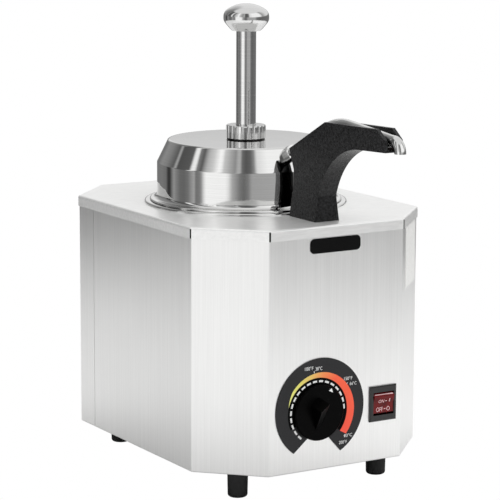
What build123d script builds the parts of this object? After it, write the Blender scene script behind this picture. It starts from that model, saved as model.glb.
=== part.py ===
from build123d import *
from math import atan2, copysign, cos, degrees, hypot, radians, sin, sqrt, tan
import os

os.makedirs("parts", exist_ok=True)

# Lengths are millimetres. X runs across the front, Y runs from the front to the back and Z runs up
# from the counter. Pieces are modelled with the well's axis at X = Y = 0 and moved to the frame last.

# Clearances
sheet_gap = 0.2          # between nested sheets
piece_gap = 0.3          # between curved faces of pieces that move apart
running_gap = 0.06       # radial, a shaft in its bearing
seat_gap = 0.02          # radial, a piece pressed or screwed into another
hole_gap = 0.2           # radial, a screw in its hole

# Housing
body_width = 230.0
body_length = 300.0
body_height = 209.0      # from the walls' lower edge to the deck
corner_leg = 48.0
sheet = 0.8
bend_radius = 2.0
lip_height = 9.5
slot_width = 1.5
slot_top = 1.3
flange_width = 12.0
seam_setback = 76.0      # from the rear wall to the side seam
seam_gap = 0.4
lap_width = 14.0
pan_sheet = 1.0
pan_flange = 14.0
vent_width = 4.0
vent_length = 36.0
vent_pitch = 10.0
vent_count = 5

# Feet and small screws
foot_height = 26.8
foot_radius = 9.0
foot_taper = 0.5
foot_edge = 2.5
foot_inset = 44.0        # from the body's sides to the foot's axis
foot_bore_depth = 8.0
screw_radius = 2.0
screw_head_radius = 4.0
screw_head = 2.6
nut_flats = 7.0
nut_height = 3.2
cover_screw_spread = 52.0
cover_screw_rise = 8.0   # above the pan's floor
cover_screw_length = 7.0

# Water vessel, jar and lid
well_radius = 79.0
well_sheet = 1.0
well_floor_rise = 49.0   # above the pan's floor
rim_radius = 90.0
rim_height = 2.2
jar_radius = 74.0
jar_sheet = 0.8
jar_floor_gap = 14.0     # between the vessel's floor and the jar's
jar_flange_radius = 83.8
lid_sheet = 1.0
lid_flange_radius = 85.2
lid_flange_drop = 0.5
lid_flange_bend = 1.4
lid_wall_radius = 78.7
lid_wall_height = 32.4   # from the jar's flange to the cone
lid_cone_height = 20.2
lid_top_radius = 68.9
lid_root_fillet = 4.0

# Hand pump
neck_radius = 15.0
neck_rise = 10.6         # above the lid's top
pump_flange_radius = 21.0
pump_flange = 3.0
cylinder_radius = 16.0
cylinder_bore = 13.5
pump_floor_gap = 5.0     # between the jar's floor and the pump
washer_radius = 16.8
washer_height = 1.2
lock_nut_radius = 17.6
lock_nut_height = 11.3
lock_nut_web = 1.5
flute_count = 22
flute_depth = 0.9
rod_radius = 8.75
rod_wall = 1.5
rod_above_nut = 83.0     # bare rod between the nut and the knob
stroke = 55.0
piston_height = 10.0
seal_height = 3.0
seal_depth = 2.4
bolt_radius = 2.5
bolt_head_radius = 4.5
bolt_head = 4.0
bolt_length = 20.0
spring_wire = 0.8
spring_radius = 10.5
spring_turns = 12
spring_solid = 32.0      # spring's height with the knob down
seat_height = 10.0       # height of the spring's seat above the valve cap's shoulder
seat_plate = 2.0
knob_radius = 20.1
knob_dome = 11.8
knob_band = 1.6
knob_under = 10.3
knob_foot_radius = 12.4
knob_socket = 14.0

# Valves and discharge
cap_radius = 17.6
cap_base = 7.0
cap_height = 14.0
inlet_radius = 3.5
inlet_cone_rise = 2.0
inlet_cone_slope = 0.6   # radius gained per height
inlet_ball_radius = 5.0
inlet_ball_lift = 3.0
outlet_ball_radius = 4.2
outlet_ball_lift = 2.5
tube_radius = 4.85
tube_wall = 1.0
riser_offset = 30.0
riser_bend = 18.0
elbow_width = 16.0
elbow_depth = 10.0
elbow_port_radius = 3.2
elbow_port_rise = 15.0   # above the valve cap's shoulder
elbow_seat_rise = 6.0
elbow_socket = 10.0
outlet_drop = 6.3        # from the lid's top edge down to the outlet's centre
collar_radius = 7.0
collar_length = 9.0
collar_spigot = 8.0
collar_spigot_radius = 5.9
crest_reach = 147.0      # tube's highest corner, forward of the well's axis
crest_fall = 5.0         # degrees, the tube's slope along the arm
crest_bend = 60.0
spout_reach = 237.5      # axis of the tube's outlet
spout_bend = 9.5
spout_height = 69.3      # outlet above the deck

# Spout arm
arm_half_width = 9.0
arm_wall = 3.0
arm_clearance = 2.0      # between the rim ring and the arm's back
arm_back_lean = 1.7
arm_neck_height = 40.0
arm_shoulder_gap = 1.2   # between the lid's flange and the arm's shoulder
arm_shoulder_rise = 1.0  # from the tube's axis up to the arm's shoulder
arm_apex_setback = 6.0   # from the tube's crest back to the arm's
arm_apex_drop = 0.4      # from the tube's crest down to the arm's
arm_top_rise = 7.9       # from the tube's axis up to the arm's top edge at the nose
arm_top_setback = 11.0
arm_nose_rise = 0.7
arm_nose_setback = 1.8
arm_tip_setback = 7.7    # from the outlet's axis back to the arm's tip
arm_tip_lift = 1.6
arm_under_gap = 0.15     # between the heater's lower end and the arm's floor
arm_under_radius = 64.0
arm_under_span = 61.5
arm_foot_depth = 40.5
arm_foot_flare = 3.0
arm_foot_flare_height = 20.6
arm_floor = 3.0
arm_screw_spread = 22.0
lead_hole_radius = 3.0
trough_sheet = 0.6
trough_gap = 0.4
trough_height = 7.0
heater_bar = 2.0
trough_setback = 4.8      # from the outlet's bend back to the trough's end
rib_width = 4.0

# Controls on the front wall
dial_offset = -19.0
dial_rise = 50.4         # above the walls' lower edge
plate_offset = -16.4
plate_lift = 2.3         # the plate's centre above the dial's axis
plate_radius = 44.0
plate_hole = 20.0
plate_turn = -4.0
plate_gap_angle = 92.0
plate_gap_drop = 14.5    # from the plate's centre down to the point of its gap
plate_sheet = 0.8
dial_radius = 24.0
dial_thickness = 3.2
dial_gap = 0.8           # between the plate and the knob
dial_bevel = 0.8
dial_recess_radius = 18.0
dial_recess = 2.0
grip_angle = 36.8        # the grip's end edge, from level
grip_height = 12.45
grip_end = 11.1          # the end facet's foot, from the axis
grip_brow = 7.1          # the end facet's top edge, from the axis
grip_foot = 8.7          # the low edge at the other end, from the axis
grip_left = -2.8
grip_right = 7.5
grip_foot_left = -12.1
grip_foot_right = -5.1
grip_flank = 8.4
grip_flank_rise = 1.2
shaft_radius = 3.0
shaft_in_knob = 6.0
hub_wall = 2.5
thermostat_width = 42.0
thermostat_depth = 28.0
thermostat_plate = 2.0
thermostat_bush = 5.0
thermostat_screw_spread = 14.0
switch_offset = 47.5
switch_rise = 50.0
bezel_width = 27.3
bezel_height = 31.0
bezel_depth = 2.2
switch_box_width = 24.4
switch_box_height = 27.0
switch_box_depth = 24.0
rocker_width = 20.4
rocker_radius = 9.7
rocker_swing = 18.0
rocker_proud = 0.6
pivot_radius = 1.5
pivot_length = 1.5
blade_width = 6.3
blade_length = 8.0
caution_offset = -2.3
caution_width = 50.0
caution_height = 12.6
caution_corner = 4.0
caution_drop = 16.8      # plate's centre below the deck
caution_sheet = 0.5
label_offset = -3.7
label_width = 46.0
label_height = 54.0
label_sheet = 0.3

# Heating and electrics
band_height = 40.0
band_thickness = 3.5
band_rise = 9.0          # above the vessel's floor
band_gap = 12.0
lug_length = 9.0
jacket_gap = 8.0         # between the vessel's wall and the jacket
jacket_thickness = 12.0
jacket_height = 130.0
bulb_radius = 3.0
bulb_length = 62.0
bulb_angle = -60.0
capillary_radius = 0.9
clip_width = 8.0
clip_sheet = 0.8
cutout_radius = 8.0
cutout_height = 8.0
cutout_offset = 30.0
cutout_bracket_length = 44.0
terminal_x = 40.0
terminal_y = 88.0
terminal_length = 40.0
terminal_depth = 18.0
terminal_height = 20.0
terminal_ways = 3
stud_radius = 2.5
stud_length = 16.0
stud_x = -5.0
stud_y = 96.0
gland_x = 45.0
gland_rise = 34.0        # above the walls' lower edge
gland_radius = 10.0
gland_thread_radius = 8.0
gland_bore = 4.2
gland_head = 14.0
gland_chamfer = 3.0
gland_inside = 12.0
gland_nut_height = 4.0
wire_radius = 1.1
wire_pitch = 3.4

# Heights and faces that follow from the sizes above
walls_bottom = foot_height - sheet
deck_top = walls_bottom + body_height
wall_inset = sheet + sheet_gap
wall_outer_y = body_length / 2 - wall_inset
wall_inner_y = wall_outer_y - sheet
wall_inner_x = body_width / 2 - wall_inset - sheet
seam_y = body_length / 2 - seam_setback
pan_floor = foot_height + pan_sheet
pan_inset = wall_inset + sheet + sheet_gap
well_floor = pan_floor + well_floor_rise
well_outer = well_radius + well_sheet
rim_top = deck_top + rim_height
jar_floor = well_floor + jar_floor_gap
lid_base = rim_top + jar_sheet
lid_junction = lid_base + lid_wall_height
lid_top = lid_junction + lid_cone_height
nut_base = lid_top + washer_height
nut_top = nut_base + lock_nut_height
pump_base = jar_floor + pump_floor_gap
cylinder_base = pump_base + cap_base
spring_base = cylinder_base + seat_height
neck_top = nut_top - lock_nut_web
knob_base = nut_top + rod_above_nut
dial_z = walls_bottom + dial_rise
switch_z = walls_bottom + switch_rise
back_of_arm = rim_radius + arm_clearance


def save(name, *solids):
    """Write one node, moved so that the origin is under the middle of the whole object."""
    pieces = [Pos(0, frame_shift, 0) * solid for piece in solids for solid in piece.solids()]
    shape = pieces[0] if len(pieces) == 1 else Compound(children=pieces)
    export_step(shape, f"parts/{name}.step")


def octagon(inset, bend=0.0):
    """The body's outline moved inwards by inset, with its corners bent to a radius."""
    half_width = body_width / 2 - inset
    half_length = body_length / 2 - inset
    leg = corner_leg - inset * (2 - sqrt(2))
    right = [(half_width - leg, -half_length), (half_width, leg - half_length),
             (half_width, half_length - leg), (half_width - leg, half_length)]
    left = [(-x, y) for x, y in reversed(right)]
    outline = make_face(Polyline(*right, *left, close=True))
    return fillet(outline.vertices(), bend) if bend else outline


def octagon_sides(inset):
    """Each side's middle, length and outward direction in degrees."""
    half_width = body_width / 2 - inset
    half_length = body_length / 2 - inset
    leg = corner_leg - inset * (2 - sqrt(2))
    front = 2 * (half_width - leg)
    flank = 2 * (half_length - leg)
    slant_x = half_width - leg / 2
    slant_y = half_length - leg / 2
    sides = [((0, -half_length), front, -90), ((0, half_length), front, 90),
             ((half_width, 0), flank, 0), ((-half_width, 0), flank, 180)]
    for sign_x in (-1, 1):
        for sign_y in (-1, 1):
            angle = degrees(atan2(sign_y, sign_x))
            sides.append(((sign_x * slant_x, sign_y * slant_y), leg * sqrt(2), angle))
    return sides


def prism(outline, bottom, top):
    return Pos(0, 0, bottom) * extrude(outline, top - bottom)


def cylinder(radius, bottom, top, x=0.0, y=0.0):
    return Pos(x, y, (bottom + top) / 2) * Cylinder(radius, top - bottom)


def tube_piece(outer, inner, bottom, top, x=0.0, y=0.0):
    return cylinder(outer, bottom, top, x, y) - cylinder(inner, bottom, top, x, y)


def block(x_range, y_range, z_range):
    size = [high - low for low, high in (x_range, y_range, z_range)]
    middle = [(high + low) / 2 for low, high in (x_range, y_range, z_range)]
    return Pos(*middle) * Box(*size)


def hexagon(flats, bottom, height, x=0.0, y=0.0):
    return Pos(x, y, bottom) * extrude(RegularPolygon(flats / sqrt(3), 6), height)


def along_y(radius, near, far, x, z):
    """A round bar along Y."""
    return Pos(x, (near + far) / 2, z) * Rot(90, 0, 0) * Cylinder(radius, abs(far - near))


def turned(outline):
    """A solid of revolution from a closed outline in radius and height."""
    return revolve(Plane.XZ * make_face(outline), Axis.Z)


def spun(points, radii, thickness):
    """A spun sheet: the points are one face of the metal, which lies to the left of the path."""
    face_line = FilletPolyline(*points, radius=radii)
    return turned(offset(face_line, amount=thickness, side=Side.LEFT, closed=True))


def side_view(outline, half_width):
    """A plate between -half_width and half_width in X from an outline in Y and Z."""
    return extrude(Plane.YZ * outline, half_width, both=True)


def swept_tube(points, radii, outer, inner=0.0):
    """A round tube along straight runs joined by arcs."""
    path = FilletPolyline(*points, radius=radii)
    start = Plane(origin=path @ 0, z_dir=path % 0)
    body = sweep(start * Circle(outer), path=path)
    if inner:
        body -= sweep(start * Circle(inner), path=path)
    return body


def screw(radius, head_radius, head, length):
    """A pan-head screw: its head's underside is at Z = 0 and its shank points up."""
    body = cylinder(head_radius, -head, 0) + cylinder(radius, 0, length)
    body = fillet(body.edges().filter_by(GeomType.CIRCLE).sort_by(Axis.Z)[0], head * 0.45)
    recess = head_radius * 1.1
    cross = Box(recess, recess / 4, head) + Box(recess / 4, recess, head)
    return body - Pos(0, 0, -head) * cross


# ---- Discharge line: the tube's route in Y and Z, forward of the well's axis ----
cone_rise = atan2(lid_wall_radius - lid_top_radius, lid_cone_height)
outlet_z = lid_top - outlet_drop
outlet_y = -(lid_top_radius + outlet_drop * tan(cone_rise))
riser_y = -riser_offset
crest_z = outlet_z + (crest_reach + outlet_y) * tan(cone_rise)
fall_slope = tan(radians(crest_fall))
spout_corner_z = crest_z - (spout_reach - crest_reach) * fall_slope
spout_z = deck_top + spout_height
front_reach = spout_reach + tube_radius
rear_reach = wall_outer_y + gland_head
frame_shift = (front_reach - rear_reach) / 2


def along_outlet(distance):
    """A point on the outlet's axis, at a distance outside the lid's cone."""
    return (0, outlet_y - distance * cos(cone_rise), outlet_z + distance * sin(cone_rise))


def outlet_bar(outline, start, end):
    """A bar along the outlet's axis, between two distances from the lid's cone."""
    direction = (0, -cos(cone_rise), sin(cone_rise))
    return extrude(Plane(origin=along_outlet(start), z_dir=direction) * outline, end - start)


def tube_axis_z(reach):
    """Height of the discharge tube's axis along the arm."""
    return crest_z - (reach - crest_reach) * fall_slope


# ---- Housing ----
def half_box(front):
    """The space in front of the side seam, or behind it."""
    reach = body_width + body_length
    near, far = (-reach, seam_y) if front else (seam_y + seam_gap, reach)
    return block((-reach, reach), (near, far), (-1, deck_top + 1))


def wall_flange(bottom):
    """Flanges folded inwards from the walls, mitred clear of each other."""
    inset = wall_inset + sheet / 2
    relief = flange_width * tan(radians(22.5)) + bend_radius
    flanges = None
    for (x, y), length, angle in octagon_sides(inset):
        reach = flange_width + sheet / 2
        strip = Pos(-reach / 2, 0, sheet / 2) * Box(reach, length - 2 * relief, sheet)
        strip = Pos(x, y, bottom) * Rot(0, 0, angle) * strip
        flanges = strip if flanges is None else flanges + strip
    return flanges


def walls():
    """All the walls as one folded sheet, with a flange folded inwards above and below."""
    outer = octagon(wall_inset, bend_radius)
    inner = octagon(wall_inset + sheet, bend_radius - sheet)
    shell = prism(outer - inner, walls_bottom, deck_top - sheet)
    shell += wall_flange(walls_bottom) + wall_flange(deck_top - 2 * sheet)
    rounded = prism(outer, walls_bottom, deck_top - sheet)
    ends = rounded.faces().sort_by(Axis.Z)
    rounded = fillet(ends[0].edges() + ends[-1].edges(), bend_radius - sheet - sheet_gap)
    return shell & rounded


def deck_panel():
    """The top: one sheet with a lip folded down on each side and an open slot at each corner."""
    plate = prism(octagon(0), deck_top - lip_height, deck_top)
    plate = fillet(plate.faces().sort_by(Axis.Z)[-1].edges(), bend_radius)
    inside = prism(octagon(sheet), deck_top - lip_height, deck_top - sheet)
    inside = fillet(inside.faces().sort_by(Axis.Z)[-1].edges(), bend_radius - sheet)
    plate -= inside
    slot_depth = lip_height - slot_top
    for vertex in octagon(0).vertices():
        slot = Pos(vertex.X, vertex.Y, deck_top - lip_height + slot_depth / 2)
        slot *= Rot(0, 0, corner_direction(vertex))
        plate -= slot * Box(4 * bend_radius, slot_width, slot_depth)
    plate -= cylinder(well_outer + sheet_gap, deck_top - 2 * sheet, deck_top + 1)
    for y in arm_screw_places():
        plate -= cylinder(screw_radius + hole_gap, deck_top - 2 * sheet, deck_top + 1, 0, y)
    return plate - cylinder(lead_hole_radius, deck_top - 2 * sheet, deck_top + 1, 0, lead_y)


def corner_direction(vertex):
    """The direction that halves the outline's corner, in degrees."""
    on_flank = abs(vertex.X) > (body_width - corner_leg) / 2
    lean = radians(22.5 if on_flank else 67.5)
    return degrees(atan2(copysign(sin(lean), vertex.Y), copysign(cos(lean), vertex.X)))


def cover_screw_places():
    return [(x, walls_bottom + sheet + pan_sheet + cover_screw_rise)
            for x in (-cover_screw_spread, cover_screw_spread)]


def front_wrap():
    wrap = walls() & half_box(True)
    near, far = -body_length / 2 - 1, -wall_inner_y + 1
    wrap -= block((switch_offset - switch_box_width / 2 - hole_gap,
                   switch_offset + switch_box_width / 2 + hole_gap), (near, far),
                  (switch_z - switch_box_height / 2 - hole_gap,
                   switch_z + switch_box_height / 2 + hole_gap))
    wrap -= along_y(thermostat_bush + hole_gap, near, far, dial_offset, dial_z)
    for x in thermostat_screw_places():
        wrap -= along_y(screw_radius + hole_gap, near, far, x, dial_z)
    for y in arm_screw_places():
        wrap -= cylinder(screw_head_radius + hole_gap, deck_top - flange_width, deck_top, 0, y)
    return wrap


def rear_cover():
    """The back, with a strip on each side that laps behind the front wrap at the seam."""
    cover = walls() & half_box(False)
    strip_bottom = walls_bottom + pan_flange + 3 * sheet + pan_sheet
    for sign in (-1, 1):
        edges = sorted((sign * wall_inner_x, sign * (wall_inner_x - sheet)))
        cover += block(edges, (seam_y - lap_width, seam_y + lap_width),
                       (strip_bottom, deck_top - 3 * sheet))
    near, far = wall_inner_y - 1, body_length / 2 + 1
    for x, z in cover_screw_places():
        cover -= along_y(screw_radius + hole_gap, near, far, x, z)
    cover -= along_y(gland_thread_radius + hole_gap, near, far, gland_x, walls_bottom + gland_rise)
    for row in range(vent_count):
        z = deck_top - 40 - row * vent_pitch
        slot = Plane.XZ * SlotOverall(vent_length, vent_width)
        for x in (-vent_length * 0.7, vent_length * 0.7):
            cover -= Pos(x, (near + far) / 2, z) * extrude(slot, far - near, both=True)
    return cover


def foot_places():
    x = body_width / 2 - foot_inset
    y = body_length / 2 - foot_inset
    return {"foot_front_left": (-x, -y), "foot_front_right": (x, -y),
            "foot_rear_left": (-x, y), "foot_rear_right": (x, y)}


def base_pan():
    """The floor: a folded tray that stands on the walls' lower flanges."""
    outer = octagon(pan_inset, bend_radius - sheet)
    inner = octagon(pan_inset + pan_sheet, 0)
    pan = prism(outer, foot_height, foot_height + pan_flange) - prism(inner, pan_floor, deck_top)
    for x, y in foot_places().values():
        pan -= cylinder(screw_radius + hole_gap, foot_height - 1, pan_floor + 1, x, y)
    for x, z in cover_screw_places():
        pan -= along_y(screw_radius - seat_gap, wall_inner_y - 4, wall_inner_y + 1, x, z)
    pan -= cylinder(stud_radius + hole_gap, foot_height - 1, pan_floor + 1, stud_x, stud_y)
    for row in range(vent_count):
        for x in (-vent_length * 0.7, vent_length * 0.7):
            y = (row - (vent_count - 1) / 2) * vent_pitch
            pan -= Pos(x, y, foot_height - 1) * extrude(SlotOverall(vent_length, vent_width), 4)
    return pan


def foot(x, y):
    """A tapered rubber bush with a rounded lower edge and a counterbore for its screw."""
    body = Pos(x, y, foot_height / 2) * Cone(foot_radius - foot_taper, foot_radius, foot_height)
    body = fillet(body.edges().filter_by(GeomType.CIRCLE).sort_by(Axis.Z)[0], foot_edge)
    body -= cylinder(screw_radius + hole_gap, -1, foot_height + 1, x, y)
    return body - cylinder(screw_head_radius + hole_gap, -1, foot_bore_depth, x, y)


def foot_fasteners():
    screws, nuts = [], []
    shank = foot_height + pan_sheet + nut_height + 2 - foot_bore_depth
    for x, y in foot_places().values():
        screws.append(Pos(x, y, foot_bore_depth)
                      * screw(screw_radius, screw_head_radius, screw_head, shank))
        nut = hexagon(nut_flats, pan_floor, nut_height, x, y)
        nuts.append(nut - cylinder(screw_radius + seat_gap, pan_floor - 1, pan_floor + 9, x, y))
    return screws, nuts


def cover_screws():
    """Screws through the rear wall into the pan's upturned edge."""
    body = Rot(90, 0, 0) * screw(screw_radius - 2 * seat_gap, screw_head_radius, screw_head,
                                 cover_screw_length)
    return [Pos(x, wall_outer_y, z) * body for x, z in cover_screw_places()]


# ---- Vessel, jar and lid ----
def well_vessel():
    points = [(rim_radius, deck_top), (rim_radius, rim_top), (well_radius, rim_top),
              (well_radius, well_floor), (0, well_floor)]
    return spun(points, [1.8, 1.6, 10], well_sheet)


def jar():
    inner = jar_radius - jar_sheet
    points = [(jar_flange_radius, lid_base), (inner, lid_base), (inner, jar_floor), (0, jar_floor)]
    return spun(points, [2.0, 9.0], jar_sheet)


def lid_points():
    """The lid's outer face from the flange's edge to the hole in its top."""
    return [(lid_flange_radius, lid_base - lid_flange_drop),
            (lid_flange_radius, lid_base + lid_sheet),
            (lid_wall_radius, lid_base + lid_sheet),
            (lid_wall_radius, lid_junction),
            (lid_top_radius, lid_top)]


lid_radii = [lid_flange_bend, lid_root_fillet, 1.6, 2.2]


def lid():
    hole = neck_radius + piece_gap
    body = spun(lid_points() + [(hole, lid_top)], lid_radii, lid_sheet)
    return body - outlet_bar(Circle(collar_spigot_radius + 0.1), -2 * collar_spigot, collar_length)


def lid_envelope():
    """The space inside the lid's outer face."""
    points = lid_points()[1:] + [(0, lid_top), (0, lid_base)]
    return turned(FilletPolyline(*points, radius=[0] + lid_radii[1:] + [0, 0], close=True))


# ---- Hand pump ----
def pump_cylinder():
    body = cylinder(cylinder_radius, cylinder_base, lid_top - lid_sheet)
    body += cylinder(pump_flange_radius, lid_top - lid_sheet - pump_flange, lid_top - lid_sheet)
    body += cylinder(neck_radius, lid_top - lid_sheet, neck_top)
    body -= cylinder(cylinder_bore, cylinder_base - 1, neck_top + 1)
    port_z = cylinder_base + elbow_port_rise
    return body - along_y(elbow_port_radius, -cylinder_radius - 1, 0, 0, port_z)


def neck_washer():
    return tube_piece(washer_radius, neck_radius + seat_gap, lid_top, nut_base)


def lock_nut():
    """A knurled nut: flutes round the outside and a web that closes over the neck."""
    body = cylinder(lock_nut_radius, nut_base, nut_top)
    body = chamfer(body.edges().filter_by(GeomType.CIRCLE).sort_by(Axis.Z)[-1], 0.8)
    body -= cylinder(neck_radius + running_gap, nut_base - 1, neck_top)
    body -= cylinder(rod_radius + piece_gap, nut_base, nut_top + 1)
    flute_radius = lock_nut_radius * sin(radians(180 / flute_count)) * 0.62
    for index in range(flute_count):
        angle = 360 / flute_count * index
        flute = Pos(lock_nut_radius + flute_radius - flute_depth, 0, (nut_base + nut_top) / 2)
        body -= Rot(0, 0, angle) * flute * Cylinder(flute_radius, lock_nut_height + 2)
    return body


piston_base = spring_base + spring_solid + stroke
piston_top = piston_base + piston_height


def guide_sleeve():
    """The acetal tube that guides the rod and stops the piston."""
    return tube_piece(cylinder_bore - seat_gap, rod_radius + running_gap, piston_top, neck_top)


def plunger_rod():
    top = knob_base + knob_socket
    body = cylinder(rod_radius, piston_top, top)
    body -= cylinder(rod_radius - rod_wall, piston_top + bolt_length, top + 1)
    return body - cylinder(bolt_radius + seat_gap, piston_top - 1, piston_top + bolt_length + 1)


def piston():
    body = cylinder(cylinder_bore - running_gap, piston_base, piston_top)
    middle = (piston_base + piston_top) / 2
    groove = tube_piece(cylinder_bore, cylinder_bore - seal_depth, middle - seal_height / 2,
                        middle + seal_height / 2)
    return body - groove - cylinder(bolt_radius + seat_gap, piston_base - 1, piston_top + 1)


def piston_seal():
    middle = (piston_base + piston_top) / 2
    low, high = middle - seal_height / 2, middle + seal_height / 2
    return tube_piece(cylinder_bore - running_gap / 2, cylinder_bore - seal_depth, low, high)


def piston_bolt():
    body = cylinder(bolt_head_radius, piston_base - bolt_head, piston_base)
    body += cylinder(bolt_radius, piston_base, piston_top + bolt_length - piston_height)
    socket = hexagon(bolt_head_radius, piston_base - bolt_head - 1, bolt_head / 2 + 1)
    return body - socket


def return_spring():
    """A helix between the seat and the piston."""
    low = spring_base + spring_wire + seat_gap
    high = piston_base - spring_wire - seat_gap
    path = Helix(pitch=(high - low) / spring_turns, height=high - low, radius=spring_radius)
    wire = sweep(Plane(origin=path @ 0, z_dir=path % 0) * Circle(spring_wire), path=path,
                 is_frenet=True)
    return Pos(0, 0, low) * wire


def spring_seat():
    """A ring over the inlet valve: it carries the spring and stops the ball."""
    plate_bottom = spring_base - seat_plate
    body = cylinder(cylinder_bore - seat_gap, cylinder_base, spring_base)
    body -= cylinder(spring_radius + spring_wire, cylinder_base - 1, plate_bottom)
    body -= cylinder(inlet_ball_radius * 0.6, plate_bottom - 1, spring_base + 1)
    for index in range(6):
        hole = cylinder(1.6, plate_bottom - 1, spring_base + 1, spring_radius * 0.62, 0)
        body -= Rot(0, 0, 60 * index) * hole
    return body


def plunger_knob():
    """A mushroom knob: a domed top over a narrow band and a rounded underside."""
    band_bottom = knob_base + knob_under
    band_top = band_bottom + knob_band
    under = Spline((knob_foot_radius, knob_base), (knob_radius * 0.86, knob_base + knob_under * 0.5),
                   (knob_radius, band_bottom), tangents=[(1.0, 0.75), (0.12, 1.0)])
    edge = Line((knob_radius, band_bottom), (knob_radius, band_top))
    dome = Spline((knob_radius, band_top), (knob_radius * 0.72, band_top + knob_dome * 0.69),
                  (0, band_top + knob_dome), tangents=[(0, 1), (-1, 0)])
    axis = Line((0, band_top + knob_dome), (0, knob_base))
    foot_line = Line((0, knob_base), (knob_foot_radius, knob_base))
    body = turned(Curve() + [under, edge, dome, axis, foot_line])
    return body - cylinder(rod_radius + seat_gap, knob_base - 1, knob_base + knob_socket)


# ---- Valves and discharge line ----
cone_length = hypot(1, inlet_cone_slope)
ball_reach = (inlet_ball_radius + piece_gap / 2) * cone_length - inlet_radius
inlet_ball_z = pump_base + inlet_cone_rise + ball_reach / inlet_cone_slope


def inlet_valve_seat():
    """The foot of the cylinder: a screwed cap with a conical seat for the inlet ball."""
    body = cylinder(cap_radius, pump_base, pump_base + cap_height)
    body -= cylinder(cylinder_radius + seat_gap, cylinder_base, pump_base + cap_height + 1)
    body -= cylinder(inlet_radius, pump_base - 1, cylinder_base + 1)
    cone_height = cap_base - inlet_cone_rise
    cone = Cone(inlet_radius, inlet_radius + inlet_cone_slope * cone_height, cone_height)
    return body - Pos(0, 0, cylinder_base - cone_height / 2) * cone


def inlet_ball():
    return Pos(0, 0, inlet_ball_z) * Sphere(inlet_ball_radius)


elbow_port_z = cylinder_base + elbow_port_rise
elbow_seat_z = elbow_port_z + elbow_seat_rise
outlet_ball_z = elbow_seat_z + sqrt((outlet_ball_radius + piece_gap / 2) ** 2
                                    - elbow_port_radius ** 2)
riser_start_z = outlet_ball_z + outlet_ball_lift + outlet_ball_radius + seat_gap


def outlet_elbow():
    """The block brazed to the cylinder: port, outlet valve seat and the riser's socket."""
    low = elbow_port_z - elbow_port_radius - 3
    high = riser_start_z + elbow_socket
    body = block((-elbow_width / 2, elbow_width / 2), (riser_y - elbow_depth / 2 - 3, 0), (low, high))
    body -= cylinder(cylinder_radius, low - 1, high + 1)
    body -= along_y(elbow_port_radius, riser_y, 0, 0, elbow_port_z)
    body -= cylinder(elbow_port_radius, elbow_port_z, high + 1, 0, riser_y)
    body -= Pos(0, riser_y, elbow_port_z) * Sphere(elbow_port_radius)
    return body - cylinder(tube_radius + seat_gap, elbow_seat_z, high + 1, 0, riser_y)


def outlet_ball():
    return Pos(0, riser_y, outlet_ball_z) * Sphere(outlet_ball_radius)


def riser_tube():
    corner_z = outlet_z + (riser_y - outlet_y) * -tan(cone_rise)
    points = [(0, riser_y, riser_start_z), (0, riser_y, corner_z), along_outlet(collar_length / 2)]
    return swept_tube(points, [riser_bend], tube_radius, tube_radius - tube_wall)


def discharge_tube():
    points = [along_outlet(collar_length / 2), (0, -crest_reach, crest_z),
              (0, -spout_reach, spout_corner_z), (0, -spout_reach, spout_z)]
    bend = min(spout_bend, (spout_corner_z - spout_z) * 0.98 / tan(radians(90 - crest_fall) / 2))
    return swept_tube(points, [crest_bend, bend], tube_radius, tube_radius - tube_wall)


def outlet_collar():
    """The turned union in the lid's cone, where the riser and the discharge tube meet."""
    body = outlet_bar(Circle(collar_radius), -collar_radius / 2, collar_length) - lid_envelope()
    body = chamfer(body.edges().filter_by(GeomType.CIRCLE).sort_by(Axis.Y)[0], 0.8)
    body += outlet_bar(Circle(collar_spigot_radius), -collar_spigot, collar_length / 2)
    return body - outlet_bar(Circle(tube_radius + seat_gap), -collar_spigot - 1, collar_length + 1)


# ---- Spout arm ----
arm_foot_front = back_of_arm + arm_foot_depth
lead_y = -(back_of_arm + arm_foot_depth / 2)


def arm_screw_places():
    return [lead_y - arm_screw_spread / 2, lead_y + arm_screw_spread / 2]


def trough_drop(layer):
    """Distance below the tube's axis to the heater's base, the trough's base or its inside."""
    return tube_radius + trough_gap + (trough_sheet + heater_bar, trough_sheet, 0)[layer]


trough_start = crest_reach + crest_bend * tan((cone_rise + radians(crest_fall)) / 2) + 1
trough_end = spout_reach - spout_bend * tan(radians(90 - crest_fall) / 2) - trough_setback


# The arm's corners in reach and height, hung from the tube's route
arm_shoulder_reach = lid_flange_radius + arm_shoulder_gap
arm_shoulder_z = outlet_z + (arm_shoulder_reach + outlet_y) * tan(cone_rise) + arm_shoulder_rise
arm_apex_reach = crest_reach - arm_apex_setback
arm_apex_z = crest_z - arm_apex_drop
arm_tip_reach = spout_reach - arm_tip_setback
arm_nose_reach = arm_tip_reach - arm_nose_setback
arm_nose_z = tube_axis_z(arm_nose_reach) + arm_nose_rise
arm_top_reach = arm_nose_reach - arm_top_setback
arm_top_z = tube_axis_z(arm_top_reach) + arm_top_rise
arm_under_reach = arm_foot_front + arm_under_span
arm_under_z = tube_axis_z(trough_end) - trough_drop(0) - arm_under_gap - arm_wall
arm_tip_z = arm_under_z + arm_tip_lift


def hollow_arc(radius, front, stop_z):
    """The arc of the hollow underside and the height where it meets the column."""
    centre_z = arm_under_z - arm_under_radius
    turn_z = centre_z + sqrt(radius ** 2 - (arm_under_reach - front) ** 2)
    diagonal = sqrt(0.5) * radius
    arc = ThreePointArc((-arm_under_reach, stop_z),
                        (-arm_under_reach + diagonal, centre_z + diagonal), (-front, turn_z))
    return arc, turn_z


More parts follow.
